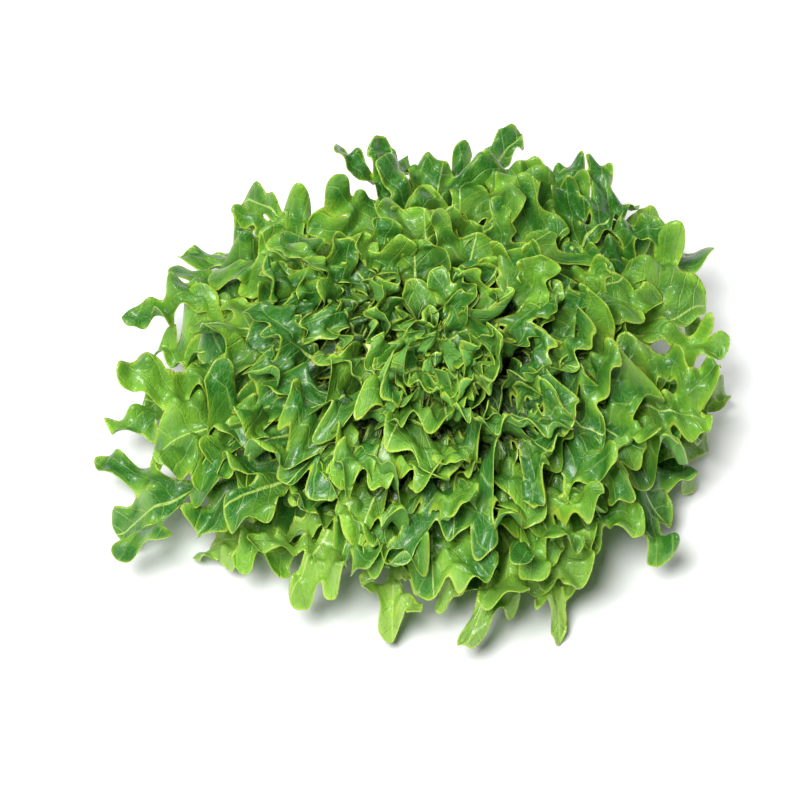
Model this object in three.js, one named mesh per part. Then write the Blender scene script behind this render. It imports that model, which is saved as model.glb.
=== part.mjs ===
// A head of green oak-leaf lettuce, cut from its root and standing on the cut stem.
//
// Units are millimetres, +Z is up and the origin is the centre of the stem's cut face. The front
// of the head is towards -Y.
//
// The leaves grow from the stem in a spiral, one golden angle apart, the youngest at the top. Each
// leaf lies on its own bowl, a surface round the stem whose profile is a circular arc that starts
// at the leaf's foot. The bowls open wider from the youngest leaf to the oldest, so they nest
// inside each other and the leaves stay clear of one another. The youngest leaves of all, still
// packed together in a bud, are one solid, the heart, which fits inside the youngest bowl.
import * as THREE from "three";

// ---- Driving dimensions ----

const STEM_FOOT_RADIUS = 14; // the cut face
const STEM_WAIST_RADIUS = 16.5; // just above the cut face
const STEM_WAIST_HEIGHT = 6;
const STEM_NECK_RADIUS = 5.5; // where the stem rounds off into its tip
const STEM_NECK_HEIGHT = 48;
const STEM_HEIGHT = 51;
const STEM_SIDES = 24;
const STEM_GAP = 0.35; // between the stem and what grows on it

const HEART_SHOULDER_HEIGHT = 98; // above the cut face, where the heart is widest
const HEART_TOP_HEIGHT = 115;
const HEART_GAP = 1; // between the heart and the youngest leaf
const HEART_SIDES = 18;

const LEAF_COUNT = 57;
const GOLDEN_ANGLE = 137.508; // degrees round the stem from one leaf to the next

// Each pair is the youngest leaf's value and then the oldest's.
const FOOT_HEIGHT = [46, 8.5];
const LEAF_LENGTH = [72, 137];
const BLADE_HALF_WIDTH = [18, 33];
const FOOT_HALF_WIDTH = [3.2, 8.5];
const RISE_ANGLE = [22, 68]; // degrees from upright, at the leaf's foot
const BEND_TO_TIP = [10, 42]; // degrees that the midrib of a full-length leaf turns outwards
const RIB_THICKNESS = [1.4, 3.2]; // at the foot, along the midrib
const RUFFLE_SHARE = [0.16, 0.4]; // of the room to the next bowl, taken up by the margin's wave
const BLADE_THICKNESS = 1; // at the margin, and at the tip
const NEXT_OVER = 5; // the leaf this many places on in the spiral is the next one under a blade

const LOBES_PER_SIDE = 3; // and one more at the tip
const SINUS_DEPTH = 0.42; // share of the half width that the gaps between lobes take away
const FORWARD_SWEEP = 0.45; // how far the lobes point to the tip, per millimetre out from the rib

// Shares of a leaf's length from its foot.
const BLADE_START = 0.22; // the bare rib ends
const BLADE_FULL = 0.66; // the blade has its full width
const TIP_START = 0.74; // the blade's end starts to round off
const TIP_END = 1.03; // and would close, so that the leaf ends in a short blunt edge

// The head is not round. These are the shares of their full length that the oldest leaves reach,
// from the right-hand side round by the back, the left and the front, one every 45 degrees.
const REACH_BY_SIDE = [1.02, 1.08, 1.1, 1.12, 1.15, 0.94, 0.8, 0.86];
const STRAGGLERS = new Map([[47, 1.2], [55, 0.9], [57, 1.05]]); // leaf number, and share of reach
const BACK_LIFT = 17; // degrees by which the oldest leaves stand more upright at the back
const FRONT_DROOP = 3; // and lie flatter at the front
const LENGTH_SPREAD = 0.04; // share by which leaves of one age differ in length
const AZIMUTH_SPREAD = 4; // degrees by which a leaf strays from the spiral
const TURN_SPREAD = 7; // degrees that a leaf's tip leans aside from its foot

// ---- Small helpers ----

const radians = THREE.MathUtils.degToRad;
const { lerp, clamp, smoothstep, euclideanModulo } = THREE.MathUtils;
const byAge = (pair, age) => lerp(pair[0], pair[1], age);

// A repeatable number from -1 to 1 for one leaf and one purpose.
function chance(leafNumber, purpose) {
  const wave = Math.sin(leafNumber * 127.1 + purpose * 311.7) * 43758.5453;
  return 2 * (wave - Math.floor(wave)) - 1;
}

// ---- Stem ----

// The stem's radius at a height between its waist and its neck, where the leaves are attached.
function stemRadius(height) {
  const share = (height - STEM_WAIST_HEIGHT) / (STEM_NECK_HEIGHT - STEM_WAIST_HEIGHT);
  return lerp(STEM_WAIST_RADIUS, STEM_NECK_RADIUS, clamp(share, 0, 1));
}

function stemGeometry() {
  const tipRise = STEM_HEIGHT - STEM_NECK_HEIGHT;
  const halfway = Math.SQRT1_2; // along the quarter circle that rounds off the tip
  return new THREE.LatheGeometry(
    [
      new THREE.Vector2(0, 0),
      new THREE.Vector2(STEM_FOOT_RADIUS, 0),
      new THREE.Vector2(STEM_WAIST_RADIUS, STEM_WAIST_HEIGHT),
      new THREE.Vector2(STEM_NECK_RADIUS, STEM_NECK_HEIGHT),
      new THREE.Vector2(STEM_NECK_RADIUS * halfway, STEM_NECK_HEIGHT + tipRise * halfway),
      new THREE.Vector2(0, STEM_HEIGHT),
    ],
    STEM_SIDES,
  );
}

// ---- Bowls ----

// The profile of a bowl in one direction from the stem: how far its foot leans from upright, and
// how much the arc bends per millimetre.
function bowlTowards(age, angle) {
  const backness = Math.sin(angle);
  const lift = backness * (backness > 0 ? BACK_LIFT : FRONT_DROOP) * age;
  return {
    rise: radians(byAge(RISE_ANGLE, age) - lift),
    bend: radians(byAge(BEND_TO_TIP, age)) / byAge(LEAF_LENGTH, age),
  };
}

// The height and the distance from the stem's axis at which a bowl starts.
function footOf(age) {
  const height = byAge(FOOT_HEIGHT, age);
  return new THREE.Vector2(stemRadius(height) + STEM_GAP + byAge(RIB_THICKNESS, age) / 2, height);
}

// The distance from the stem's axis (x) and the height (y) of a point that lies along millimetres
// from a bowl's foot and off millimetres above the bowl, on the side of the heart.
function profilePoint(age, angle, along, off) {
  const { rise, bend } = bowlTowards(age, angle);
  const lean = rise + bend * along;
  const out = (Math.cos(rise) - Math.cos(lean)) / bend - off * Math.cos(lean);
  const up = (Math.sin(lean) - Math.sin(rise)) / bend + off * Math.sin(lean);
  return footOf(age).add(new THREE.Vector2(out, up));
}

// The distance from a bowl down to the bowl of the next leaf that lies under it.
function roomBelow(age, angle, along) {
  const above = profilePoint(age, angle, along, 0);
  const below = profilePoint(age + NEXT_OVER / (LEAF_COUNT - 1), angle, along, 0);
  const normal = profilePoint(age, angle, along, 1).sub(above);
  return above.sub(below).dot(normal);
}

// ---- Heart ----

// The heart's flank keeps its gap to the youngest leaf, and its crown is a quarter ellipse.
function heartGeometry() {
  const youngest = 0;
  const ruffle = RUFFLE_SHARE[0] * roomBelow(youngest, 0, LEAF_LENGTH[0]);
  const inset = HEART_GAP + ruffle + RIB_THICKNESS[0] / 2;
  const { rise, bend } = bowlTowards(youngest, 0);
  const flankAt = (height) => {
    const aboveFoot = height - footOf(youngest).y;
    const lean = Math.asin((aboveFoot + Math.sin(rise) / bend) / (1 / bend + inset));
    return profilePoint(youngest, 0, (lean - rise) / bend, inset);
  };
  const foot = STEM_HEIGHT + STEM_GAP;
  const flank = [0, 0.25, 0.5, 0.75, 1].map((share) => {
    return flankAt(lerp(foot, HEART_SHOULDER_HEIGHT, share));
  });
  const shoulder = flank.at(-1);
  const crown = [25, 50, 70].map((degrees) => {
    const rounding = radians(degrees);
    return new THREE.Vector2(
      shoulder.x * Math.cos(rounding),
      lerp(HEART_SHOULDER_HEIGHT, HEART_TOP_HEIGHT, Math.sin(rounding)),
    );
  });
  const bottom = new THREE.Vector2(0, foot);
  const top = new THREE.Vector2(0, HEART_TOP_HEIGHT);
  return new THREE.LatheGeometry([bottom, ...flank, ...crown, top], HEART_SIDES);
}

// ---- Leaves ----

// Share of its full length that a leaf reaches, by the side of the head that it grows on.
function reachTowards(azimuth, age) {
  const sides = REACH_BY_SIDE.length;
  const place = euclideanModulo((azimuth / (2 * Math.PI)) * sides, sides);
  const before = Math.floor(place);
  const blend = smoothstep(place - before, 0, 1);
  const reach = lerp(REACH_BY_SIDE[before % sides], REACH_BY_SIDE[(before + 1) % sides], blend);
  return lerp(1, reach, age);
}

// All sizes of one leaf. leafNumber runs from 1, the youngest, to LEAF_COUNT, the oldest.
function leafPlan(leafNumber) {
  const age = (leafNumber - 1) / (LEAF_COUNT - 1);
  const strayed = AZIMUTH_SPREAD * chance(leafNumber, 1);
  const azimuth = radians((leafNumber - 1) * GOLDEN_ANGLE + strayed);
  const straggle = STRAGGLERS.get(leafNumber) ?? 1 + LENGTH_SPREAD * chance(leafNumber, 2);
  return {
    age,
    azimuth,
    length: byAge(LEAF_LENGTH, age) * reachTowards(azimuth, age) * straggle,
    halfWidth: byAge(BLADE_HALF_WIDTH, age),
    footHalfWidth: byAge(FOOT_HALF_WIDTH, age),
    ribThickness: byAge(RIB_THICKNESS, age),
    ruffleShare: byAge(RUFFLE_SHARE, age),
    ruffleStart: Math.PI * chance(leafNumber, 3),
    turn: radians(TURN_SPREAD * chance(leafNumber, 4)),
    stationsPerLobe: age > 0.5 ? 3 : 2,
  };
}

// How far along the blade a share of the leaf's length is, from 0 at the blade's start to 1.
function shareOfBlade(share) {
  return clamp((share - BLADE_START) / (1 - BLADE_START), 0, 1);
}

// Half the leaf's width on one side (-1 or 1) of the midrib. The two sides' lobes alternate.
function halfWidthAt(leaf, share, side) {
  const widening = smoothstep(share, BLADE_START / 2, BLADE_FULL);
  const envelope = lerp(leaf.footHalfWidth, leaf.halfWidth, widening);
  const towardsTip = Math.max(0, (share - TIP_START) / (TIP_END - TIP_START));
  const roundedTip = Math.sqrt(1 - towardsTip * towardsTip);
  const lobesPassed = LOBES_PER_SIDE * shareOfBlade(share) + (side > 0 ? 0 : 0.5);
  const betweenLobes = 0.5 + 0.5 * Math.cos(2 * Math.PI * lobesPassed);
  const sinus = SINUS_DEPTH * widening * betweenLobes * (1 - towardsTip);
  return envelope * roundedTip * (1 - sinus);
}

// How far the margin waves off the bowl. Neighbouring lobes bend to opposite sides.
function ruffleAt(leaf, share, side, outness) {
  const height = leaf.ruffleShare * roomBelow(leaf.age, leaf.azimuth, share * leaf.length);
  const alongBlade = shareOfBlade(share);
  const wave = Math.cos(Math.PI * LOBES_PER_SIDE * alongBlade + leaf.ruffleStart + side);
  return height * outness * outness * Math.min(1, LOBES_PER_SIDE * alongBlade) * wave;
}

// A point of the leaf, in the leaf's own frame, which has +X out from the stem along the midrib
// and its origin on the stem's axis, level with the foot.
function pointOnLeaf(leaf, along, across, off) {
  const ribAngle = leaf.turn * (along / leaf.length) ** 2;
  const ribRadius = profilePoint(leaf.age, leaf.azimuth + ribAngle, along, 0).x;
  const angle = ribAngle + across / ribRadius;
  const { x: radius, y: height } = profilePoint(leaf.age, leaf.azimuth + angle, along, off);
  const foot = footOf(leaf.age);
  return new THREE.Vector3(radius * Math.cos(angle), radius * Math.sin(angle), height - foot.y);
}

function leafGeometry(leaf) {
  const acrossSteps = [-1, -0.5, 0, 0.5, 1];
  const bladeStations = LOBES_PER_SIDE * leaf.stationsPerLobe;
  const shares = [0, BLADE_START / 2];
  for (let station = 0; station <= bladeStations; station += 1) {
    shares.push(lerp(BLADE_START, 1, station / bladeStations));
  }
  const upper = [];
  const lower = [];
  for (const share of shares) {
    for (const step of acrossSteps) {
      const side = Math.sign(step);
      const outness = Math.abs(step);
      const across = step * halfWidthAt(leaf, share, side);
      const sweptShare = smoothstep(share, 0, BLADE_START) * (1 - share * share);
      const along = share * leaf.length + FORWARD_SWEEP * sweptShare * Math.abs(across);
      const ribness = (1 - outness) * (1 - share);
      const halfThickness = lerp(BLADE_THICKNESS, leaf.ribThickness, ribness) / 2;
      const off = ruffleAt(leaf, share, side, outness);
      upper.push(pointOnLeaf(leaf, along, across, off + halfThickness));
      lower.push(pointOnLeaf(leaf, along, across, off - halfThickness));
    }
  }
  return closedSheet(upper, lower, shares.length, acrossSteps.length);
}

// Joins two grids of points, stored row by row, into one closed skin that faces out.
function closedSheet(upper, lower, rows, columns) {
  const at = (row, column) => row * columns + column;
  const faces = [];
  const quad = (a, b, c, d) => faces.push(a, b, c, a, c, d);
  for (let row = 1; row < rows; row += 1) {
    for (let column = 1; column < columns; column += 1) {
      const a = at(row - 1, column - 1);
      const b = at(row - 1, column);
      const c = at(row, column);
      const d = at(row, column - 1);
      // Both skins fold along the diagonal from b to d, so that they stay apart.
      quad(d, c, b, a);
      quad(...[b, c, d, a].map((corner) => corner + upper.length));
    }
  }
  const rim = [];
  for (let column = 0; column < columns - 1; column += 1) rim.push(at(0, column));
  for (let row = 0; row < rows - 1; row += 1) rim.push(at(row, columns - 1));
  for (let column = columns - 1; column > 0; column -= 1) rim.push(at(rows - 1, column));
  for (let row = rows - 1; row > 0; row -= 1) rim.push(at(row, 0));
  rim.forEach((from, place) => {
    const to = rim[(place + 1) % rim.length];
    quad(from, to, to + upper.length, from + upper.length);
  });

  const geometry = new THREE.BufferGeometry().setFromPoints([...upper, ...lower]);
  geometry.setIndex(faces);
  geometry.computeVertexNormals();
  return geometry;
}

// ---- Materials ----

const stemMaterial = new THREE.MeshStandardMaterial({ color: 0xdfe3b4, roughness: 0.6, metalness: 0 });
const heartMaterial = new THREE.MeshStandardMaterial({ color: 0x9ccb3c, roughness: 0.5, metalness: 0 });

// Young leaves are a light yellow green, and old ones a deep green.
function leafMaterial(age) {
  const color = new THREE.Color(0x86c232).lerp(new THREE.Color(0x2f8a2c), age);
  return new THREE.MeshStandardMaterial({ color, roughness: 0.45, metalness: 0 });
}

// ---- Assembly ----

function named(name, geometry, material) {
  const mesh = new THREE.Mesh(geometry, material);
  mesh.name = name;
  return mesh;
}

// Stem and heart are turned round Y, as lathe geometry is, and this group stands them along Z.
const core = new THREE.Group();
core.add(named("stem", stemGeometry(), stemMaterial));
core.add(named("heart", heartGeometry(), heartMaterial));
core.rotation.x = Math.PI / 2;

const head = new THREE.Group();
head.add(core);
for (let leafNumber = 1; leafNumber <= LEAF_COUNT; leafNumber += 1) {
  const leaf = leafPlan(leafNumber);
  const name = `leaf_${String(leafNumber).padStart(2, "0")}`;
  const mesh = named(name, leafGeometry(leaf), leafMaterial(leaf.age));
  mesh.rotation.z = leaf.azimuth;
  mesh.position.z = footOf(leaf.age).y;
  head.add(mesh);
}

export default head;
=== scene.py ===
"""A head of green oak-leaf lettuce on a pale floor, in metres, +Z up, front towards -Y.

Every leaf is a thin closed sheet. Its outline is drawn flat, as a stalk, a blade and round lobes
that run into each other, and cut out of a fine triangle grid. The sheet is then laid on its own
bowl round the stem, as the CAD leaves are, and its lobes are cupped, curled and ruffled.
"""

import math
from types import SimpleNamespace

import bpy
import numpy as np
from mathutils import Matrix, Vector


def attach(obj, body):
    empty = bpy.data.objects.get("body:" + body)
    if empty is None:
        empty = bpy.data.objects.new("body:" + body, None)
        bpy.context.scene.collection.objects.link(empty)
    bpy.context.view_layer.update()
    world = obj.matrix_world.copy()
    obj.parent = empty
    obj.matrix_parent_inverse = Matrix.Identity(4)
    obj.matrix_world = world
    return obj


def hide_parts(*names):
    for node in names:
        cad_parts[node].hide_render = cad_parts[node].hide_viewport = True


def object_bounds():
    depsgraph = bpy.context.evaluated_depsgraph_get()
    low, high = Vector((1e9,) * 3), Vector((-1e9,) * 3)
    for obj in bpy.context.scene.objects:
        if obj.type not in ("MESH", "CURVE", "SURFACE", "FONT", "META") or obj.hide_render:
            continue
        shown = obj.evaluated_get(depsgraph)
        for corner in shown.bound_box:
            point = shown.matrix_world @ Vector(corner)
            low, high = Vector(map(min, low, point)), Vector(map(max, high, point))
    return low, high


MM = 0.001

# ---- The plant's plan, as in the CAD model, with wider young leaves ----

STEM_FOOT_RADIUS = 14.0 * MM
STEM_WAIST_RADIUS = 16.5 * MM
STEM_WAIST_HEIGHT = 6.0 * MM
STEM_NECK_RADIUS = 5.5 * MM
STEM_NECK_HEIGHT = 48.0 * MM
STEM_HEIGHT = 51.0 * MM
STEM_GAP = 0.35 * MM

LEAF_COUNT = 57
HEART_LEAF_COUNT = 20
EXTRA_LEAF_SHARE = 0.9  # of the length of the leaves round it
EXTRA_LEAVES_AFTER = range(8, 49)  # each of these CAD leaves is followed by a leaf that CAD lacks
FIRST_OUTER_LEAF = 29
GOLDEN_ANGLE = 137.508  # degrees

# Each triple is the value of the heart's innermost leaf, leaf_01 and leaf_57.
FOOT_HEIGHT = (50.8 * MM, 46.0 * MM, 8.5 * MM)
LEAF_LENGTH = (48.0 * MM, 72.0 * MM, 137.0 * MM)
BLADE_HALF_WIDTH = (17.0 * MM, 21.0 * MM, 33.0 * MM)
FOOT_HALF_WIDTH = (1.2 * MM, 3.2 * MM, 8.5 * MM)
RISE_ANGLE = (3.0, 22.0, 68.0)  # degrees from upright
BEND_TO_TIP = (4.0, 10.0, 42.0)  # degrees
RIB_THICKNESS = (0.8 * MM, 1.4 * MM, 3.2 * MM)

REACH_BY_SIDE = (1.02, 1.08, 1.1, 1.12, 1.15, 0.94, 0.8, 0.86)  # every 45 degrees from +X
STRAGGLERS = {47: 1.2, 55: 0.9, 57: 1.05}  # leaf number, and share of reach

# Leaf number, and share of the length that the plan gives it. Halves are extra leaves.
TRIMMED = {
    2: 0.93, 34: 1.15, 35: 1.15, 38: 1.25, 38.5: 1.2, 39: 1.06, 39.5: 0.9, 40: 0.97, 41: 1.08,
    42: 1.02, 42.5: 0.9, 43: 1.08, 43.5: 1.15, 44: 1.08, 44.5: 0.9, 45: 0.9, 46: 1.12, 47: 1.03,
    47.5: 1.08, 48: 0.96, 48.5: 1.15, 49: 1.1, 50: 0.9, 51: 1.12, 52: 0.93, 53: 0.95, 54: 1.04,
    55: 1.06, 56: 0.88, 57: 0.95,
}
OUTGROWTH = 0.04  # by how much the oldest of the other leaves outgrow the plan
# Leaf number, and share of the width that the plan gives it.
NARROWED = {
    42: 0.7, 46: 0.85, 47.5: 0.65, 49: 0.55, 50: 0.5, 53: 0.55, 54: 0.7, 55: 0.6, 56: 0.9, 57: 0.85,
}
# Leaf number, and how much light shining through the leaf is painted into it as a paler lime green,
# from 0 to 1.
PAINTED_LIT_THROUGH_LEAVES = {42: 0.3, 45: 0.3, 47.5: 0.5, 50: 0.7, 53: 0.6, 55: 0.6, 56: 0.4}
# Leaf number, and degrees by which it leans aside of the plan.
LEANING = {
    38: 6.0, 41: -5.0, 42: 4.0, 44: -4.0, 46: -6.0, 47: -9.0, 47.5: -13.0, 48: -3.0, 50: 6.0,
    52: 5.0, 53: -8.0, 54: -14.0, 55: -17.0, 57: -3.0,
}

BACK_LIFT = 17.0  # degrees
FRONT_DROOP = 3.0
LENGTH_SPREAD = (0.04, 0.08, 0.04)  # shares by which leaves of one age differ
WIDTH_SPREAD = 0.1
AZIMUTH_SPREAD = 4.0  # degrees
EXTRA_AZIMUTH_SPREAD = 25.0
TURN_SPREAD = 7.0
NEXT_OVER = 5  # places on in the spiral to the next leaf under a blade

# ---- The shape of a leaf ----

GRID_STEP = (0.8 * MM, 1.0 * MM, 1.35 * MM)  # side of the triangles
BLADE_THICKNESS = 0.5 * MM
MARGIN_THICKNESS = 0.3 * MM
SNAP_SHARE = 0.35  # of the grid step, within which a grid point moves onto the outline
LEAST_ROOM = 1.5 * MM  # that a blade has to stand off its bowl, on either side

# Shares of the half width. Each pair is the value of leaf_01 and then that of leaf_57.
TIP_RADIUS = (0.42, 0.29)
LOBE_RADIUS = (0.29, 0.195)
CRENATION = 0.03
RUFFLE = 0.18
BILLOW = 0.05

# Each pair is the value of a leaf's lowest lobe and then that of its highest.
LOBES_FROM_TO = (0.28, 0.84)  # shares of the leaf's length
LOBE_SWEEP = (62.0, 36.0)  # degrees from the midrib
FORK_TURN = 55.0  # degrees between a lobe and the small one on it

# ---- The stem's surface ----

SCAR_RELIEF = 0.25 * MM  # how far the stem lies below the scars that leaves stand on
SCAR_HEIGHT = 1.6 * MM
STEM_WAVE = 0.2 * MM
STEM_DISH = 0.3 * MM  # how far the middle of the cut face lies above its edge
STEM_SIDES = 120
STEM_ROWS = 90

# ---- Colours, each part from 0 to 255 as a screen shows it ----

FACE_DEEP = (44, 112, 30)
FACE_FRESH = (142, 196, 54)
# Painted shade, for the gaps deep in the head.
PAINTED_GAP_SHADE = (10, 42, 8)
# Painted light: the pale lime of hanging leaves with light shining through them.
PAINTED_LIT_THROUGH_GREEN = (166, 204, 84)
NET_VEIN = (150, 196, 84)
SIDE_VEIN = (158, 200, 88)
MIDRIB = (178, 208, 100)
UNDERSIDE = (104, 166, 66)
UNDERSIDE_VEIN = (164, 204, 110)
UNDERSIDE_MIDRIB = (196, 218, 136)
# The margin's own yellow-green, partly painted light shining through the thin edge.
RIM = (184, 210, 66)
STALK = (208, 224, 150)
STEM_FLESH = ((226, 230, 190), (206, 218, 160))
STEM_GREEN = (168, 200, 110)
STEM_CUT = (176, 138, 84)

# ---- Camera and light ----

LOOK_FROM_CENTRE = Vector((-0.016, -0.0395, 0.0264))  # the point looked at, from the box's centre
CAMERA_ELEVATION = 55.0  # degrees
CAMERA_DISTANCE = 1.3
CAMERA_LENS = 125.0
KEY_PLACE = (-0.3, -0.55, 1.25)
KEY_SIZE = 0.55
KEY_POWER = 24.0
BACK_PLACE = (0.3, 0.6, 1.2)
BACK_SIZE = 0.7
BACK_POWER = 4.0
FLOOR_REACH = 6.0
FILL_STRENGTH = 0.09  # of the light from all round
FLOOR_GLOW = 0.38  # a light table, so that shadows on it stay pale
FAR_FLOOR_GLOW = 0.5  # more, where the lamps don't reach
GLOW_FROM_TO = (0.1, 0.2)  # distances from the axis between which the glow sets in
FAR_GLOW_FROM_TO = (0.4, 1.8)


# ---- Small helpers ----


def clamp(value, low, high):
    return np.minimum(np.maximum(value, low), high)


def lerp(start, end, share):
    return start + (end - start) * share


def smoothstep(value, low, high):
    share = clamp((value - low) / (high - low), 0.0, 1.0)
    return share * share * (3.0 - 2.0 * share)


def by_age(triple, age):
    """The value at an age from -1, the heart's innermost leaf, over 0, leaf_01, to 1, leaf_57."""
    if age < 0:
        return lerp(triple[1], triple[0], -age)
    return lerp(triple[1], triple[2], age)


def chance(number, purpose):
    """A repeatable number from -1 to 1 for one leaf and one purpose."""
    wave = math.sin(number * 127.1 + purpose * 311.7) * 43758.5453
    return 2.0 * (wave - math.floor(wave)) - 1.0


def linear(red, green, blue):
    """A screen colour, each part from 0 to 255, as Blender's linear RGBA."""

    def one(part):
        share = part / 255.0
        return share / 12.92 if share <= 0.04045 else ((share + 0.055) / 1.055) ** 2.4

    return one(red), one(green), one(blue), 1.0


# ---- Bowls, the surfaces that the leaves lie on ----


def stem_radius(height):
    if height > STEM_NECK_HEIGHT:
        rounding = (height - STEM_NECK_HEIGHT) / (STEM_HEIGHT - STEM_NECK_HEIGHT)
        return STEM_NECK_RADIUS * math.sqrt(max(0.0, 1.0 - rounding * rounding))
    share = (height - STEM_WAIST_HEIGHT) / (STEM_NECK_HEIGHT - STEM_WAIST_HEIGHT)
    return lerp(STEM_WAIST_RADIUS, STEM_NECK_RADIUS, min(max(share, 0.0), 1.0))


def foot_of(age):
    """The distance from the axis and the height at which a bowl starts."""
    height = by_age(FOOT_HEIGHT, age)
    return stem_radius(height) + STEM_GAP + by_age(RIB_THICKNESS, age) / 2, height


def profile_point(age, angle, along, off):
    """Distance from the axis and height of a point along a bowl and off it, towards the heart."""
    backness = np.sin(angle)
    lift = backness * np.where(backness > 0, BACK_LIFT, FRONT_DROOP) * max(age, 0.0)
    rise = np.radians(by_age(RISE_ANGLE, age) - lift)
    bend = math.radians(by_age(BEND_TO_TIP, age)) / by_age(LEAF_LENGTH, age)
    lean = rise + bend * along
    foot_out, foot_up = foot_of(age)
    out = foot_out + (np.cos(rise) - np.cos(lean)) / bend - off * np.cos(lean)
    up = foot_up + (np.sin(lean) - np.sin(rise)) / bend + off * np.sin(lean)
    return out, up


def age_of(number):
    """Age of a leaf by its number. Numbers up to 0 are the heart's leaves."""
    return (number - 1) / (LEAF_COUNT - 1) if number >= 1 else (number - 1) / HEART_LEAF_COUNT


def room_to(number, places, angle, along):
    """The distance from a leaf's bowl to that of the leaf some places further out."""
    age = age_of(number)
    other = min(max(age_of(number + places), -1.0), 1.1)
    out, up = profile_point(age, angle, along, 0.0)
    other_out, other_up = profile_point(other, angle, along, 0.0)
    normal_out, normal_up = profile_point(age, angle, along, 1.0)
    return (out - other_out) * (normal_out - out) + (up - other_up) * (normal_up - up)


# ---- The plan of one leaf ----


def reach_towards(azimuth, age):
    sides = len(REACH_BY_SIDE)
    place = (azimuth / (2 * math.pi) * sides) % sides
    before = int(place)
    blend = float(smoothstep(place - before, 0.0, 1.0))
    reach = lerp(REACH_BY_SIDE[before % sides], REACH_BY_SIDE[(before + 1) % sides], blend)
    return lerp(1.0, reach, max(age, 0.0))


def leaf_plan(number):
    """All sizes of one leaf, which can differ from those of its CAD leaf."""
    age = age_of(number)
    azimuth = math.radians((number - 1) * GOLDEN_ANGLE + AZIMUTH_SPREAD * chance(number, 1))
    full = 1.0
    if number != int(number):
        azimuth += math.radians(EXTRA_AZIMUTH_SPREAD) * chance(number, 13)
        full = EXTRA_LEAF_SHARE
    straggle = STRAGGLERS.get(number, 1 + by_age(LENGTH_SPREAD, age) * chance(number, 2))
    trimmed = TRIMMED.get(number, 1 + OUTGROWTH * max(age, 0.0))
    planned_length = full * by_age(LEAF_LENGTH, age) * reach_towards(azimuth, age)
    planned_half_width = by_age(BLADE_HALF_WIDTH, age) * (1 + WIDTH_SPREAD * chance(number, 5))
    return SimpleNamespace(
        number=number,
        age=age,
        azimuth=azimuth,
        length=planned_length * straggle * trimmed,
        half_width=planned_half_width * NARROWED.get(number, 1.0),
        foot_half_width=by_age(FOOT_HALF_WIDTH, age),
        rib=by_age(RIB_THICKNESS, age),
        turn=math.radians(TURN_SPREAD * chance(number, 4) + LEANING.get(number, 0.0)),
        step=by_age(GRID_STEP, age),
    )


# ---- The outline, as limbs that run into each other ----


def limb(start, end, start_radius, end_radius, lobe=True):
    return SimpleNamespace(
        start=np.array(start),
        end=np.array(end),
        start_radius=start_radius,
        end_radius=end_radius,
        lobe=lobe,
    )


def limbs_of(leaf):
    """Stalk, blade, tip and lobes of a leaf, in its flat plane: along the midrib, and across."""
    length, width, number = leaf.length, leaf.half_width, leaf.number
    grown = max(leaf.age, 0.0)
    tip_radius = width * lerp(*TIP_RADIUS, grown**0.6) * (1 + 0.15 * chance(number, 6))
    tip_end = length - tip_radius
    tip_across = 0.22 * width * chance(number, 7)
    stalk_end = 0.3 * length
    limbs = [
        limb((0, 0), (stalk_end, 0), leaf.foot_half_width, 0.09 * width, lobe=False),
        limb((stalk_end, 0), (0.78 * length, 0), 0.09 * width, 0.13 * width, lobe=False),
        limb((0.72 * length, 0), (tip_end, tip_across), 0.1 * width, tip_radius),
    ]
    pairs = 3 if grown < 0.25 else 4
    if leaf.age < -0.3:
        pairs = 2
    if leaf.age > 0 and chance(number, 8) > 0.4:
        pairs -= 1
    elif grown > 0.5 and chance(number, 8) < -0.4:
        pairs += 1
    for side in (-1, 1):
        for place in range(pairs):
            seed = 20 + place + 10 * side
            share = (place + 0.4 + 0.2 * chance(number, seed) + 0.16 * side) / pairs
            base = length * lerp(*LOBES_FROM_TO, share)
            reach = width * (0.62 + 0.5 * math.sin(math.pi * min(share * 0.72 + 0.16, 1.0)))
            reach *= 1 + 0.16 * chance(number, seed + 40)
            end_radius = width * lerp(*LOBE_RADIUS, grown**0.6)
            end_radius *= 1 + 0.2 * chance(number, seed + 80)
            sweep = math.radians(lerp(*LOBE_SWEEP, share) + 10 * chance(number, seed + 120))
            run = (reach - end_radius) / math.sin(sweep)
            end = (base + run * math.cos(sweep), side * (reach - end_radius))
            limbs.append(limb((base, 0), end, 0.07 * width, end_radius))
            # A small lobe stands off the outer or the inner side of the big one.
            fork = 0.55 + 0.12 * chance(number, seed + 160)
            outwards = 1 if chance(number, seed + 200) > -0.3 else -1
            turned = sweep + math.radians(FORK_TURN) * outwards
            fork_run = width * (0.3 + 0.08 * chance(number, seed + 240))
            fork_start = (lerp(base, end[0], fork), lerp(0, end[1], fork))
            fork_end = (
                fork_start[0] + fork_run * math.cos(turned),
                fork_start[1] + side * fork_run * math.sin(turned),
            )
            limbs.append(limb(fork_start, fork_end, 0.09 * width, 0.13 * width, lobe=False))
    return limbs


def distance_to(shape, points):
    """Distance outside a limb, and how far along it and aside of it each point lies."""
    axis = shape.end - shape.start
    run = float(np.hypot(*axis))
    axis = axis / run
    from_start = points - shape.start
    along = from_start @ axis
    aside = from_start @ np.array((-axis[1], axis[0]))
    share = clamp(along / run, 0.0, 1.0)
    from_axis = np.hypot(along - share * run, aside)
    return from_axis - lerp(shape.start_radius, shape.end_radius, share), along, aside


def waves(leaf, points, wavelength, purpose, count=5):
    """Smooth noise from about -1 to 1 over the flat leaf."""
    total = np.zeros(len(points))
    for place in range(count):
        heading = math.pi * chance(leaf.number, purpose + place)
        stretch = 1.0 + 0.35 * chance(leaf.number, purpose + 10 + place)
        phase = math.pi * chance(leaf.number, purpose + 20 + place)
        axis = np.array((math.cos(heading), math.sin(heading)))
        total += np.sin(points @ axis * (2 * math.pi / (wavelength * stretch)) + phase)
    return total / math.sqrt(count)


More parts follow.
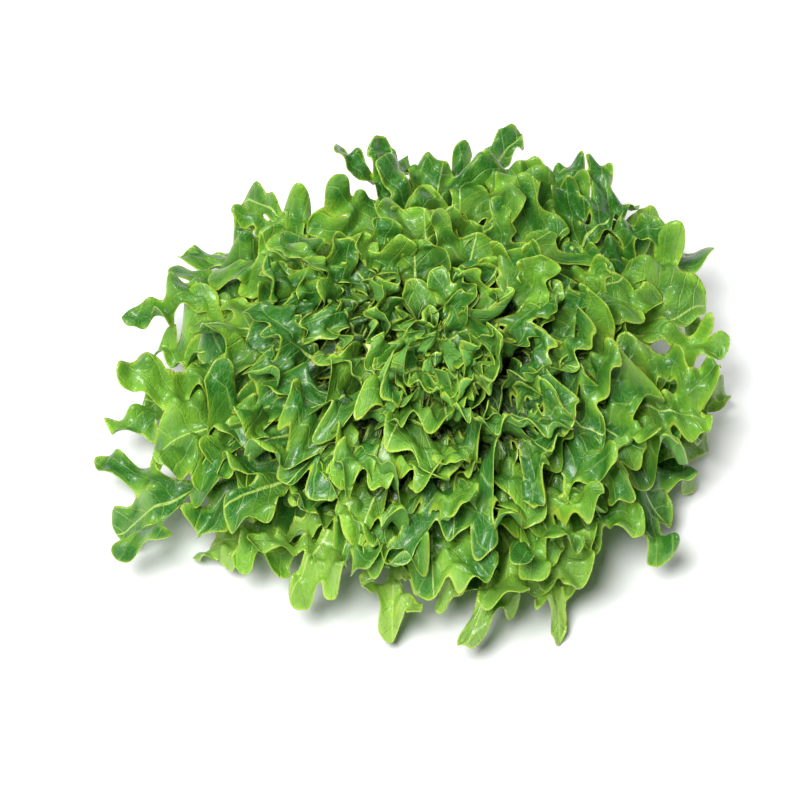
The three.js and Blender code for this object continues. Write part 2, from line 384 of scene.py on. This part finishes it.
def outline_field(leaf, limbs):
    """A function that gives each point's distance outside the outline, below 0 inside it."""
    softness = 0.05 * leaf.half_width

    def field(points):
        total = np.zeros(len(points))
        for shape in limbs:
            distance = distance_to(shape, points)[0]
            total += np.exp(-clamp(distance, -0.1, 0.1) / softness)
        smooth = -softness * np.log(total)
        blade = smoothstep(points[:, 0], 0.25 * leaf.length, 0.45 * leaf.length)
        crenate = CRENATION * leaf.half_width * waves(leaf, points, 0.5 * leaf.half_width, 200)
        return smooth + blade * crenate

    return field


# ---- Cutting the outline out of a triangle grid ----


def corners_of(*corners):
    """Rows of three point numbers, one row per triangle."""
    return np.stack(corners, -1).reshape(-1, 3)


def grid_inside(field, limbs, leaf):
    """Points and triangles of a regular grid, cut off along the outline."""
    step = leaf.step
    slack = 0.15 * leaf.half_width
    reach_along = max(shape.end[0] + shape.end_radius for shape in limbs) + slack
    reach_across = max(abs(shape.end[1]) + shape.end_radius for shape in limbs) + slack
    rise = step * math.sqrt(3) / 2
    rows = int(reach_across / rise) + 3
    columns = int(reach_along / step) + 6
    row, column = np.mgrid[-rows : rows + 1, 0:columns]
    odd = row % 2
    points = np.stack([(column + 0.5 * odd - 1.5) * step, row * rise], -1).reshape(-1, 2)
    # The stalk is cut off square at the foot.
    value = np.maximum(field(points), -points[:, 0])
    nudge = 0.05 * step
    slope = np.stack(
        [
            np.maximum(field(points + (nudge, 0)), -points[:, 0] - nudge) - value,
            np.maximum(field(points + (0, nudge)), -points[:, 0]) - value,
        ],
        -1,
    ) / nudge
    near = np.abs(value) < SNAP_SHARE * step
    steepness = np.maximum((slope[near] ** 2).sum(-1, keepdims=True), 0.25)
    points[near] -= value[near, None] * slope[near] / steepness
    value[near] = 0.0

    index = np.arange(len(points)).reshape(row.shape)
    a, b = index[:-1, :-1], index[:-1, 1:]
    c, d = index[1:, :-1], index[1:, 1:]
    even = (odd[:-1, :-1] == 0).ravel()
    first = np.where(even[:, None], corners_of(a, b, c), corners_of(a, d, c))
    second = np.where(even[:, None], corners_of(b, d, c), corners_of(a, b, d))
    triangles = np.concatenate([first, second])
    signs = np.sign(value[triangles])
    whole = (signs.max(1) <= 0) & (signs.min(1) < 0)
    cut = (signs.max(1) > 0) & (signs.min(1) < 0)
    points, margin_pieces = cut_triangles(points, value, triangles[cut])
    triangles = np.concatenate([triangles[whole], margin_pieces])
    used, triangles = np.unique(triangles, return_inverse=True)
    return points[used], triangles.reshape(-1, 3)


def cut_triangles(points, value, triangles):
    """Cuts triangles that cross the outline, and returns all points and the pieces inside."""
    added, cuts, pieces = [], {}, []

    def cut_between(inner, outer):
        if (inner, outer) not in cuts:
            share = value[inner] / (value[inner] - value[outer])
            cuts[inner, outer] = len(points) + len(added)
            added.append(lerp(points[inner], points[outer], share))
        return cuts[inner, outer]

    for corners in triangles.tolist():
        piece = []
        for place in range(3):
            here, after = corners[place], corners[(place + 1) % 3]
            if value[here] <= 0:
                piece.append(here)
            if value[here] < 0 < value[after]:
                piece.append(cut_between(here, after))
            elif value[after] < 0 < value[here]:
                piece.append(cut_between(after, here))
        pieces.append(piece[:3])
        if len(piece) == 4:
            pieces.append([piece[0], piece[2], piece[3]])
    if not pieces:
        return points, triangles
    return np.concatenate([points, added]), np.array(pieces)


# ---- Curl, cup and ruffle ----


def height_off(leaf, limbs, points, inside):
    """How far each point of the blade stands off its bowl, towards the heart."""
    width, number = leaf.half_width, leaf.number
    grown = max(leaf.age, 0.0)
    backness = math.sin(leaf.azimuth) * grown
    total = np.full(len(points), 1e-9)
    off = np.zeros(len(points))
    for place, shape in enumerate(limbs):
        distance, along, aside = distance_to(shape, points)
        weight = np.exp(-clamp(distance, -0.1, 0.1) / (0.1 * width))
        total += weight
        if not shape.lobe:
            continue
        reach = float(np.hypot(*(shape.end - shape.start))) + shape.end_radius
        seed = 300 + 10 * place
        flip = 1 if chance(number, seed) > 0 else -1
        curl = -0.1 + 1.3 * chance(number, seed + 1)
        if place == 2:
            curl = -0.6 + 0.8 * backness + 0.7 * chance(number, seed + 1)
        cup = flip * (0.8 + 0.4 * chance(number, seed + 2))
        twist = 0.9 * chance(number, seed + 3)
        run = clamp(along, 0.0, reach)
        shaped = curl * run**2 / (2 * reach)
        shaped += cup * aside**2 / (2 * shape.end_radius) * smoothstep(run, 0.2 * reach, 0.7 * reach)
        shaped += twist * aside * run / reach
        off += weight * shaped
    off /= total
    near_margin = 1.0 - smoothstep(inside, 0.0, 0.3 * width)
    ruffle = RUFFLE * width * near_margin * waves(leaf, points, 0.5 * width, 400)
    billow = BILLOW * width * waves(leaf, points, width, 440)
    blade = smoothstep(points[:, 0], 0.2 * leaf.length, 0.5 * leaf.length)
    # The blade folds up a little along the midrib.
    fold = (0.2 + 0.25 * chance(number, 9)) * np.abs(points[:, 1]) * (1.0 - 0.4 * grown)
    whole_twist = lerp(0.9, 0.25, grown) * chance(number, 12) * points[:, 1]
    off = (off * 1.4 + ruffle + billow + fold + whole_twist) * blade
    # It is then held softly within the room down to the next leaf and up to the one before.
    below = room_to(number, NEXT_OVER, leaf.azimuth, points[:, 0]) + 0.4 * MM
    above = -room_to(number, -NEXT_OVER, leaf.azimuth, points[:, 0]) + 0.4 * MM
    tip = smoothstep(points[:, 0], 0.4 * leaf.length, 0.85 * leaf.length)
    loose = 0.3 * width * (1.0 - 0.6 * grown)
    below = loose * tip + np.maximum(below, LEAST_ROOM) * (1.1 + 0.7 * tip)
    above = loose * tip + np.maximum(above, LEAST_ROOM) * (1.1 + 1.2 * tip)
    return np.where(off < 0, -below * np.tanh(-off / below), above * np.tanh(off / above))


def place_on_bowl(leaf, points, off):
    """Rolls the flat leaf onto its bowl."""
    along, across = points[:, 0], points[:, 1]
    rib_angle = leaf.turn * (along / leaf.length) ** 2
    rib_radius = profile_point(leaf.age, leaf.azimuth + rib_angle, along, 0.0)[0]
    angle = leaf.azimuth + rib_angle + across / np.maximum(rib_radius, 4 * MM)
    radius, height = profile_point(leaf.age, angle, along, off)
    return np.stack([radius * np.cos(angle), radius * np.sin(angle), height], -1)


# ---- Meshes ----


def mesh_object(name, points, triangles, numbers):
    """A smooth-shaded mesh object with one float per vertex for every name in numbers."""
    mesh = bpy.data.meshes.new(name)
    mesh.vertices.add(len(points))
    mesh.vertices.foreach_set("co", np.ascontiguousarray(points, np.float32).ravel())
    mesh.loops.add(3 * len(triangles))
    mesh.loops.foreach_set("vertex_index", np.ascontiguousarray(triangles, np.int32).ravel())
    mesh.polygons.add(len(triangles))
    mesh.polygons.foreach_set("loop_start", np.arange(0, 3 * len(triangles), 3, dtype=np.int32))
    mesh.polygons.foreach_set("use_smooth", np.ones(len(triangles), bool))
    mesh.update(calc_edges=True)
    for attribute_name, values in numbers.items():
        attribute = mesh.attributes.new(attribute_name, "FLOAT", "POINT")
        attribute.data.foreach_set("value", np.ascontiguousarray(values, np.float32))
    made = bpy.data.objects.new(name, mesh)
    bpy.context.scene.collection.objects.link(made)
    return made


def closed_skin(triangles, count):
    """Triangles of two skins of count points each, joined round the margin."""
    edges = np.concatenate([triangles[:, [0, 1]], triangles[:, [1, 2]], triangles[:, [2, 0]]])
    forward = edges[:, 0] * count + edges[:, 1]
    backward = edges[:, 1] * count + edges[:, 0]
    start, end = edges[~np.isin(forward, backward)].T
    walls = [
        np.stack([end, start, start + count], -1),
        np.stack([end, start + count, end + count], -1),
    ]
    return np.concatenate([triangles, triangles[:, ::-1] + count, *walls])


def leaf_object(name, leaf):
    limbs = limbs_of(leaf)
    field = outline_field(leaf, limbs)
    points, triangles = grid_inside(field, limbs, leaf)
    inside = np.maximum(-field(points), 0.0)
    off = height_off(leaf, limbs, points, inside)
    share = clamp(points[:, 0] / leaf.length, 0.0, 1.0)
    rib_half_width = lerp(leaf.foot_half_width, 0.35 * MM, share**0.45)
    ribness = np.exp(-((points[:, 1] / rib_half_width) ** 2))
    rib_half = lerp(leaf.rib, 0.5 * MM, share**0.6) / 2
    edge = smoothstep(inside, 0.0, 1.2 * MM)
    blade_half = lerp(MARGIN_THICKNESS, BLADE_THICKNESS, edge) / 2
    upper = place_on_bowl(leaf, points, off + blade_half + 0.15 * rib_half * ribness)
    lower = place_on_bowl(leaf, points, off - blade_half - (rib_half * 1.5 * ribness) * edge)
    both = {
        "along": points[:, 0],
        "across": points[:, 1],
        "margin": inside,
        "share": share,
        "age": np.full(len(points), leaf.age),
        "tone": np.full(len(points), chance(leaf.number, 11)),
        "painted_lit_through": np.full(len(points), PAINTED_LIT_THROUGH_LEAVES.get(leaf.number, 0.0)),
    }
    numbers = {key: np.tile(values, 2) for key, values in both.items()}
    numbers["underside"] = np.repeat((0.0, 1.0), len(points))
    skin = closed_skin(triangles, len(points))
    return mesh_object(name, np.concatenate([upper, lower]), skin, numbers)


# ---- Materials ----


class Nodes:
    """A material's node tree, with short names for adding nodes to it."""

    def __init__(self, name):
        self.material = bpy.data.materials.new(name)
        self.material.use_nodes = True
        self.tree = self.material.node_tree
        self.tree.nodes.clear()
        self.output = self.tree.nodes.new("ShaderNodeOutputMaterial")

    def feed(self, socket, value):
        if isinstance(value, bpy.types.NodeSocket):
            self.tree.links.new(value, socket)
        else:
            socket.default_value = value

    def attribute(self, name):
        node = self.tree.nodes.new("ShaderNodeAttribute")
        node.attribute_name = name
        return node.outputs["Fac"]

    def math(self, operation, *values):
        node = self.tree.nodes.new("ShaderNodeMath")
        node.operation = operation
        for socket, value in zip(node.inputs, values):
            self.feed(socket, value)
        return node.outputs[0]

    def ramp(self, value, low, high, start=0.0, end=1.0):
        node = self.tree.nodes.new("ShaderNodeMapRange")
        node.interpolation_type = "SMOOTHSTEP"
        for socket, number in zip(node.inputs, (value, low, high, start, end)):
            self.feed(socket, number)
        return node.outputs[0]

    def mix(self, share, first, second):
        node = self.tree.nodes.new("ShaderNodeMix")
        node.data_type = "RGBA"
        self.feed(node.inputs["Factor"], share)
        self.feed(node.inputs[6], first)
        self.feed(node.inputs[7], second)
        return node.outputs[2]

    def noise(self, scale, detail=2.0):
        node = self.tree.nodes.new("ShaderNodeTexNoise")
        coordinates = self.tree.nodes.new("ShaderNodeTexCoord")
        self.tree.links.new(coordinates.outputs["Object"], node.inputs["Vector"])
        node.inputs["Scale"].default_value = scale
        node.inputs["Detail"].default_value = detail
        return node.outputs["Fac"]

    def cells(self, vector, scale):
        node = self.tree.nodes.new("ShaderNodeTexVoronoi")
        node.feature = "DISTANCE_TO_EDGE"
        self.tree.links.new(vector, node.inputs["Vector"])
        node.inputs["Scale"].default_value = scale
        return node.outputs["Distance"]

    def combine(self, x, y, z):
        node = self.tree.nodes.new("ShaderNodeCombineXYZ")
        for socket, value in zip(node.inputs, (x, y, z)):
            self.feed(socket, value)
        return node.outputs[0]

    def bump(self, height, distance, strength=1.0):
        node = self.tree.nodes.new("ShaderNodeBump")
        node.inputs["Strength"].default_value = strength
        node.inputs["Distance"].default_value = distance
        self.feed(node.inputs["Height"], height)
        return node.outputs["Normal"]

    def principled(self, **values):
        node = self.tree.nodes.new("ShaderNodeBsdfPrincipled")
        for name, value in values.items():
            self.feed(node.inputs[name.replace("_", " ")], value)
        return node.outputs[0]


def leaf_material():
    """Deep green face with paler veins, a bright thin margin and a matte, pale underside."""
    n = Nodes("lettuce_leaf")
    age, tone, share = n.attribute("age"), n.attribute("tone"), n.attribute("share")
    along, margin = n.attribute("along"), n.attribute("margin")
    aside = n.math("ABSOLUTE", n.attribute("across"))
    underside = n.attribute("underside")

    patches = n.noise(55.0, 3.0)
    freshness = n.math("ADD", n.math("MULTIPLY", tone, 0.28), n.ramp(patches, 0.3, 0.7, -0.28, 0.28))
    young = n.ramp(age, 0.9, -0.6, 0.0, 1.0)
    freshness = n.math("ADD", freshness, n.ramp(margin, 0.004, 0.0, 0.0, 0.42))
    # Painted shade: young leaves, deep in the head, are also made a little darker.
    brightness = n.math("ADD", n.math("MULTIPLY", young, -0.06), n.math("ADD", freshness, 0.12))
    face = n.mix(brightness, linear(*FACE_DEEP), linear(*FACE_FRESH))
    # Painted shade: parts low on the young leaves are darkened, down to black-green, where shade
    # falls in the gaps deep in the head.
    painted_shade = n.math("MULTIPLY", n.ramp(share, 1.0, 0.6), n.ramp(age, 0.9, 0.3))
    face = n.mix(n.math("MULTIPLY", painted_shade, 0.9), face, linear(*PAINTED_GAP_SHADE))
    # Painted light: hanging outer leaves are mixed towards a pale lime, which stands in for light
    # shining through them.
    face = n.mix(n.attribute("painted_lit_through"), face, linear(*PAINTED_LIT_THROUGH_GREEN))

    # Side veins leave the midrib at a steep slant and curve towards the tip.
    swept = n.math("SUBTRACT", along, n.math("MULTIPLY", aside, 0.95))
    wander = n.math("MULTIPLY", n.noise(70.0, 1.0), 0.006)
    phase = n.math("FRACT", n.math("DIVIDE", n.math("ADD", swept, wander), 0.0085))
    from_vein = n.math("ABSOLUTE", n.math("SUBTRACT", phase, 0.5))
    side_vein = n.ramp(from_vein, 0.0, 0.085, 1.0, 0.0)
    net = n.cells(n.combine(along, n.attribute("across"), 0.0), 420.0)
    net_vein = n.ramp(net, 0.0, 0.12, 1.0, 0.0)
    rib_width = n.ramp(share, 0.0, 1.0, 0.0032, 0.00035)
    midrib = n.math("SUBTRACT", 1.0, n.ramp(n.math("DIVIDE", aside, rib_width), 0.5, 1.1))

    veined = n.mix(n.math("MULTIPLY", net_vein, 0.14), face, linear(*NET_VEIN))
    veined = n.mix(n.math("MULTIPLY", side_vein, 0.38), veined, linear(*SIDE_VEIN))
    veined = n.mix(n.math("MULTIPLY", midrib, 0.9), veined, linear(*MIDRIB))
    below = n.mix(n.math("MULTIPLY", side_vein, 0.4), linear(*UNDERSIDE), linear(*UNDERSIDE_VEIN))
    below = n.mix(n.math("MULTIPLY", midrib, 0.9), below, linear(*UNDERSIDE_MIDRIB))
    sided = n.mix(underside, veined, below)
    # The thin margin takes its own yellow-green, made brighter as painted light shining through the
    # edge.
    rim = n.ramp(margin, 0.0002, 0.0008, 1.0, 0.0)
    rimmed = n.mix(n.math("MULTIPLY", rim, 0.7), sided, linear(*RIM))
    stalk = n.ramp(share, 0.3, 0.06, 0.0, 0.9)
    colour = n.mix(stalk, rimmed, linear(*STALK))

    relief = n.math("MULTIPLY", side_vein, -0.7)
    relief = n.math("ADD", relief, n.math("MULTIPLY", net_vein, -0.35))
    relief = n.math("ADD", relief, n.math("MULTIPLY", n.noise(500.0, 3.0), 1.1))
    normal = n.bump(relief, 0.0005, 0.9)
    matte = n.ramp(underside, 0.0, 1.0, 0.4, 0.6)
    roughness = n.math("ADD", matte, n.math("MULTIPLY", n.noise(180.0), 0.14))
    shader = n.principled(
        Base_Color=colour,
        Roughness=roughness,
        Normal=normal,
        Subsurface_Weight=0.06,
        Subsurface_Radius=(0.0006, 0.0014, 0.0003),
        Subsurface_Scale=1.0,
        Specular_IOR_Level=0.5,
        Coat_Weight=0.3,
        Coat_Roughness=0.2,
    )
    n.feed(n.output.inputs["Surface"], shader)
    return n.material


def stem_material():
    """Pale milky flesh, greener upwards, browned where it was cut."""
    n = Nodes("lettuce_stem")
    grain = n.noise(120.0, 3.0)
    coordinates = n.tree.nodes.new("ShaderNodeTexCoord")
    split = n.tree.nodes.new("ShaderNodeSeparateXYZ")
    n.tree.links.new(coordinates.outputs["Object"], split.inputs[0])
    height = split.outputs[2]
    flesh = n.mix(grain, linear(*STEM_FLESH[0]), linear(*STEM_FLESH[1]))
    greener = n.mix(n.ramp(height, 0.004, 0.04, 0.0, 0.7), flesh, linear(*STEM_GREEN))
    cut = n.ramp(height, 0.0022, 0.0, 0.0, 1.0)
    browned = n.mix(n.math("MULTIPLY", cut, n.ramp(grain, 0.35, 0.7)), greener, linear(*STEM_CUT))
    shader = n.principled(
        Base_Color=browned,
        Roughness=n.math("ADD", 0.4, n.math("MULTIPLY", grain, 0.2)),
        Normal=n.bump(n.noise(300.0, 3.0), 0.0005, 0.6),
        Subsurface_Weight=0.2,
        Subsurface_Radius=(0.002, 0.002, 0.001),
        Subsurface_Scale=1.0,
        Specular_IOR_Level=0.45,
    )
    n.feed(n.output.inputs["Surface"], shader)
    return n.material


def floor_material():
    """White, and glowing a little outside the plant's shade, like a light table."""
    n = Nodes("pale_floor")
    coordinates = n.tree.nodes.new("ShaderNodeTexCoord")
    length = n.tree.nodes.new("ShaderNodeVectorMath")
    length.operation = "LENGTH"
    n.tree.links.new(coordinates.outputs["Object"], length.inputs[0])
    from_axis = length.outputs["Value"]
    near = n.ramp(from_axis, *GLOW_FROM_TO, 0.0, FLOOR_GLOW)
    glow = n.math("ADD", near, n.ramp(from_axis, *FAR_GLOW_FROM_TO, 0.0, FAR_FLOOR_GLOW))
    shader = n.principled(
        Base_Color=(0.9, 0.9, 0.9, 1.0),
        Roughness=0.8,
        Emission_Color=(1.0, 1.0, 1.0, 1.0),
        Emission_Strength=glow,
    )
    n.feed(n.output.inputs["Surface"], shader)
    return n.material


# ---- The plant ----


def stem_object():
    """The stem, narrower at its cut face, with a low scar under every leaf's foot."""
    sides, rows = STEM_SIDES, STEM_ROWS
    turn = np.linspace(0, 2 * math.pi, sides, endpoint=False)
    heights = np.linspace(0.0, STEM_HEIGHT - 0.02 * MM, rows)
    leaves = [leaf_plan(number) for number in range(1, LEAF_COUNT + 1)]
    rings = []
    for height in heights:
        if height < STEM_WAIST_HEIGHT:
            share = smoothstep(height, 0.0, STEM_WAIST_HEIGHT)
            radius = np.full(sides, lerp(STEM_FOOT_RADIUS, STEM_WAIST_RADIUS, share))
        else:
            radius = np.full(sides, stem_radius(height))
        nearness = np.zeros(sides)
        for leaf in leaves:
            aside = np.angle(np.exp(1j * (turn - leaf.azimuth))) * radius / leaf.foot_half_width
            above = (height - foot_of(leaf.age)[1]) / SCAR_HEIGHT
            nearness = np.maximum(nearness, np.exp(-(aside**2) - above**2))
        sunk = SCAR_RELIEF * (1.0 - nearness) + STEM_WAVE * (1.0 + np.sin(3 * turn + 1.0))
        radius = np.maximum(radius - sunk, 0.02 * MM)
        ring = [radius * np.cos(turn), radius * np.sin(turn), np.full(sides, height)]
        rings.append(np.stack(ring, -1))
    points = np.concatenate([*rings, [(0, 0, STEM_DISH), (0, 0, STEM_HEIGHT)]])
    index = np.arange(sides * rows).reshape(rows, sides)
    after = np.roll(index, -1, axis=1)
    a, b, c, d = index[:-1], after[:-1], after[1:], index[1:]
    walls = [corners_of(a, b, c), corners_of(a, c, d)]
    bottom, top = len(points) - 2, len(points) - 1
    foot = corners_of(after[0], index[0], np.full(sides, bottom))
    crown = corners_of(index[-1], after[-1], np.full(sides, top))
    return mesh_object("stem_flesh", points, np.concatenate([*walls, foot, crown]), {})


def add_piece(piece, material, slot, *nodes):
    piece.data.materials.append(material)
    if nodes:
        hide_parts(*nodes)
    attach(piece, "root")


def make_plant():
    green = leaf_material()
    for number in range(1, LEAF_COUNT + 1):
        slot = "outer_leaf" if number >= FIRST_OUTER_LEAF else "inner_leaf"
        piece = leaf_object(f"lettuce_leaf_{number:02d}", leaf_plan(number))
        add_piece(piece, green, slot, f"leaf_{number:02d}")
    for number in EXTRA_LEAVES_AFTER:
        slot = "outer_leaf" if number >= FIRST_OUTER_LEAF else "inner_leaf"
        piece = leaf_object(f"extra_leaf_{number:02d}", leaf_plan(number + 0.5))
        add_piece(piece, green, slot)
    for place in range(HEART_LEAF_COUNT):
        piece = leaf_object(f"heart_leaf_{place + 1:02d}", leaf_plan(-place))
        add_piece(piece, green, "heart", "heart")
    add_piece(stem_object(), stem_material(), "stem", "stem")


# ---- Studio ----


def make_floor():
    reach = FLOOR_REACH
    corners = [(-reach, -reach, 0), (reach, -reach, 0), (reach, reach, 0), (-reach, reach, 0)]
    floor = mesh_object("floor", np.array(corners, float), np.array([(0, 1, 2), (0, 2, 3)]), {})
    floor.data.materials.append(floor_material())


def make_light(name, place, target, size, energy):
    lamp = bpy.data.lights.new(name, "AREA")
    lamp.shape = "DISK"
    lamp.size = size
    lamp.energy = energy
    made = bpy.data.objects.new(name, lamp)
    made.location = place
    made.rotation_euler = (Vector(target) - Vector(place)).to_track_quat("-Z", "Y").to_euler()
    bpy.context.scene.collection.objects.link(made)


def make_camera(centre):
    target = centre + LOOK_FROM_CENTRE
    elevation = math.radians(CAMERA_ELEVATION)
    back = Vector((0.0, -math.cos(elevation), math.sin(elevation)))
    data = bpy.data.cameras.new("camera")
    data.lens = CAMERA_LENS
    camera = bpy.data.objects.new("camera", data)
    camera.location = target + back * CAMERA_DISTANCE
    camera.rotation_euler = (-back).to_track_quat("-Z", "Y").to_euler()
    bpy.context.scene.collection.objects.link(camera)
    bpy.context.scene.camera = camera


def make_studio(centre):
    make_floor()
    make_light("key", KEY_PLACE, centre, KEY_SIZE, KEY_POWER)
    make_light("back", BACK_PLACE, centre, BACK_SIZE, BACK_POWER)
    world = bpy.data.worlds.new("studio")
    world.use_nodes = True
    # The plant is lit softly from all round, and what shows behind it is white.
    background = world.node_tree.nodes["Background"]
    background.inputs["Color"].default_value = (1.0, 1.0, 1.0, 1.0)
    path = world.node_tree.nodes.new("ShaderNodeLightPath")
    strength = world.node_tree.nodes.new("ShaderNodeMapRange")
    strength.inputs["To Min"].default_value = FILL_STRENGTH
    strength.inputs["To Max"].default_value = 1.0
    world.node_tree.links.new(path.outputs["Is Camera Ray"], strength.inputs["Value"])
    world.node_tree.links.new(strength.outputs["Result"], background.inputs["Strength"])
    bpy.context.scene.world = world
    bpy.context.scene.view_settings.view_transform = "Standard"
    make_camera(centre)


# ---- The scene ----

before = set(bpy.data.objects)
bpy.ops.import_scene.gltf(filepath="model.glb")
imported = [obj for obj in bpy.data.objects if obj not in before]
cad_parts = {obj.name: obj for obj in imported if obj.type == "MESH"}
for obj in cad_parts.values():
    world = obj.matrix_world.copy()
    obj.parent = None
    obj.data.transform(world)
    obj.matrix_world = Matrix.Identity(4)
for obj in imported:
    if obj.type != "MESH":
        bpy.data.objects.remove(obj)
cad_low, cad_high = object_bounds()
make_plant()
make_studio((cad_low + cad_high) / 2)
